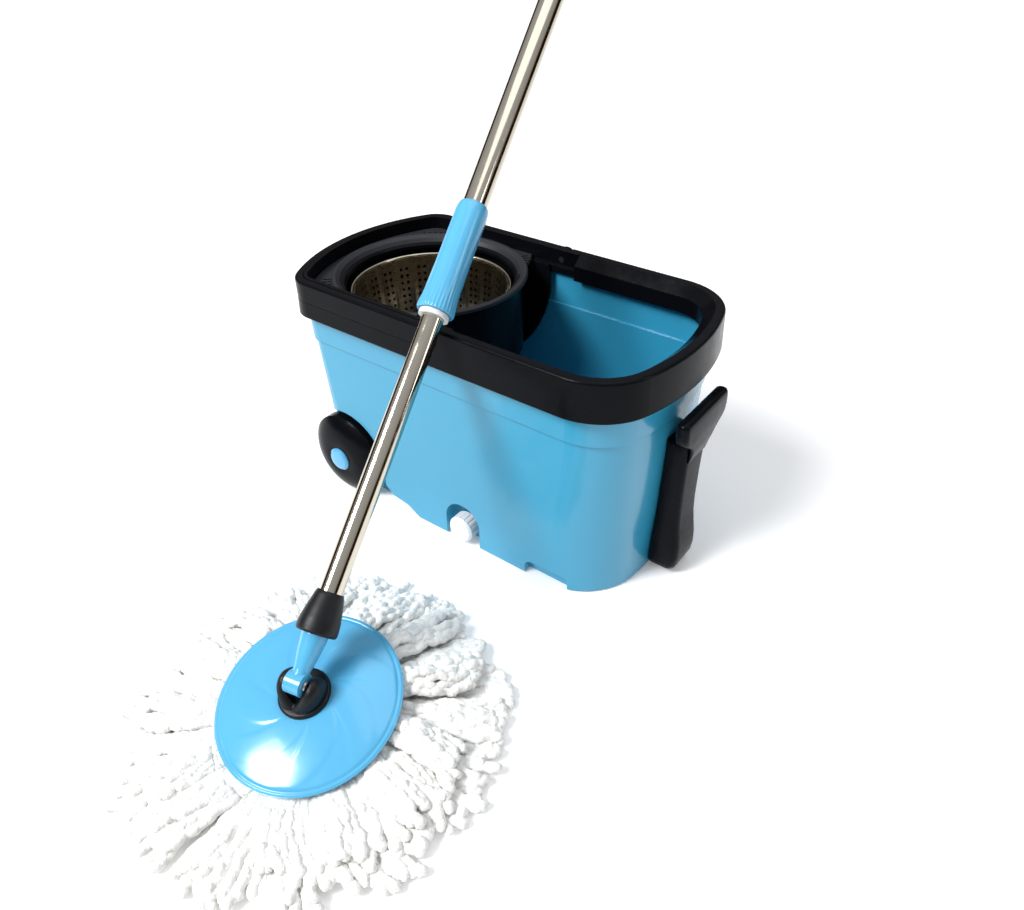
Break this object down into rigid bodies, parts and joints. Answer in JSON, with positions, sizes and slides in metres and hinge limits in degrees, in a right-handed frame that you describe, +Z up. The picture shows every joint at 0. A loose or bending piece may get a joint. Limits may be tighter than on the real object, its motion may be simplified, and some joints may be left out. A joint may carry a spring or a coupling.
{
  "type": "spin mop with wheeled bucket",
  "caption": "Wheeled two-part bucket with a lift-out wringer and steel spin basket, and a leaning pump-action mop with a domed plate and white strands.",
  "frame": {"origin": "on the floor under the middle of the bucket, on the underside of the rib below the tank floor", "axes": "+X along the bucket to the pull-handle end, -Y to the side the mop stands on, +Z up"},
  "size_m": [0.4926, 1.0501, 0.8165],
  "materials": {
    "bucket_blue": "glossy moulded polypropylene, light blue",
    "black_gloss": "glossy moulded plastic, black",
    "black_satin": "satin moulded plastic, black",
    "cap_blue": "glossy moulded plastic, light blue",
    "mop_blue": "glossy moulded plastic, light blue",
    "white_plastic": "smooth white plastic",
    "basket_steel": "bright stainless sheet, pierced",
    "tube_steel": "polished stainless tube",
    "plain_steel": "turned steel",
    "rubber_black": "moulded rubber",
    "strand_white": "looped microfibre yarn, white",
    "bearing_plastic": "acetal bush"
  },
  "bodies": {
    "bucket": {"bucket_body": "bucket_blue", "bucket_feet": "rubber_black", "top_rim": "black_gloss", "carry_handle_pins": "plain_steel", "wheel_axles": "plain_steel", "axle_clips": "plain_steel", "drain_seal": "rubber_black", "handle_guide": "black_gloss"},
    "carry_handle": {"carry_handle": "black_gloss"},
    "near_wheel": {"near_wheel": "black_gloss", "near_hub_cap": "cap_blue"},
    "far_wheel": {"far_wheel": "black_gloss", "far_hub_cap": "cap_blue"},
    "drain_plug": {"drain_plug": "white_plastic"},
    "pull_handle": {"pull_handle_stem": "black_satin", "pull_handle_grip": "black_gloss"},
    "wringer": {"wringer_tray": "black_satin", "wringer_cup": "black_gloss", "basket_spindle": "plain_steel"},
    "basket": {"basket_shell": "basket_steel", "basket_rim": "basket_steel", "basket_base": "black_satin", "basket_bearing": "bearing_plastic", "basket_hub_cap": "black_satin"},
    "mop_head": {"mop_plate": "mop_blue", "swivel_hub": "black_gloss", "knuckle_pin": "plain_steel", "yarn_ring": "white_plastic", "plate_screws": "plain_steel", "mop_strands": "strand_white"},
    "mop_shaft": {"knuckle_neck": "mop_blue", "shaft_collar": "black_satin", "lower_tube": "tube_steel", "drive_nut": "bearing_plastic"},
    "slide_bush": {"lock_bush": "white_plastic"},
    "mop_handle": {"upper_tube": "tube_steel", "drive_rod": "plain_steel", "rod_anchor": "bearing_plastic", "end_cap": "mop_blue", "hanging_ring": "mop_blue"},
    "grip": {"grip_sleeve": "mop_blue"}
  },
  "joints": [
    {"name": "carry_handle_swing", "type": "hinge", "parent": "bucket", "child": "carry_handle", "pos_m": [0, 0, 0.2693], "axis": [0, 1, 0], "range_deg": [0, 64]},
    {"name": "near_wheel_spin", "type": "hinge", "parent": "bucket", "child": "near_wheel", "pos_m": [-0.159, -0.1165, 0.053], "axis": [0, 1, 0], "continuous": true},
    {"name": "far_wheel_spin", "type": "hinge", "parent": "bucket", "child": "far_wheel", "pos_m": [-0.159, 0.1165, 0.053], "axis": [0, 1, 0], "continuous": true},
    {"name": "drain_plug_pull", "type": "slide", "parent": "bucket", "child": "drain_plug", "axis": [0, -1, 0], "range_m": [0, 0.03]},
    {"name": "pull_handle_slide", "type": "slide", "parent": "bucket", "child": "pull_handle", "axis": [0, 0, 1], "range_m": [0, 0.12]},
    {"name": "wringer_lift", "type": "slide", "parent": "bucket", "child": "wringer", "axis": [0, 0, 1], "range_m": [0, 0.07]},
    {"name": "basket_spin", "type": "hinge", "parent": "wringer", "child": "basket", "pos_m": [-0.1063, 0, 0.2], "axis": [0, 0, 1], "continuous": true},
    {"name": "mop_lift", "type": "slide", "parent": "bucket", "child": "mop_head", "axis": [0, 0, 1], "range_m": [0, 0.45]},
    {"name": "head_tilt", "type": "hinge", "parent": "mop_head", "child": "mop_shaft", "pos_m": [0.075, -0.4034, 0.075], "axis": [0.9778, 0.2094, 0], "range_deg": [0, 125]},
    {"name": "pump_stroke", "type": "slide", "parent": "mop_shaft", "child": "slide_bush", "axis": [0.162, -0.7564, -0.6338], "range_m": [0, 0.2]},
    {"name": "drive_spin", "type": "hinge", "parent": "slide_bush", "child": "mop_handle", "pos_m": [0.075, -0.4034, 0.075], "axis": [-0.162, 0.7564, 0.6338], "range_deg": [0, 721]},
    {"name": "grip_lock_twist", "type": "hinge", "parent": "mop_handle", "child": "grip", "pos_m": [0.075, -0.4034, 0.075], "axis": [-0.162, 0.7564, 0.6338], "range_deg": [0, 90]}
  ],
  "couplings": [
    {"joint": "drive_spin", "follows": "pump_stroke", "rad_per_m": 62.832}
  ]
}
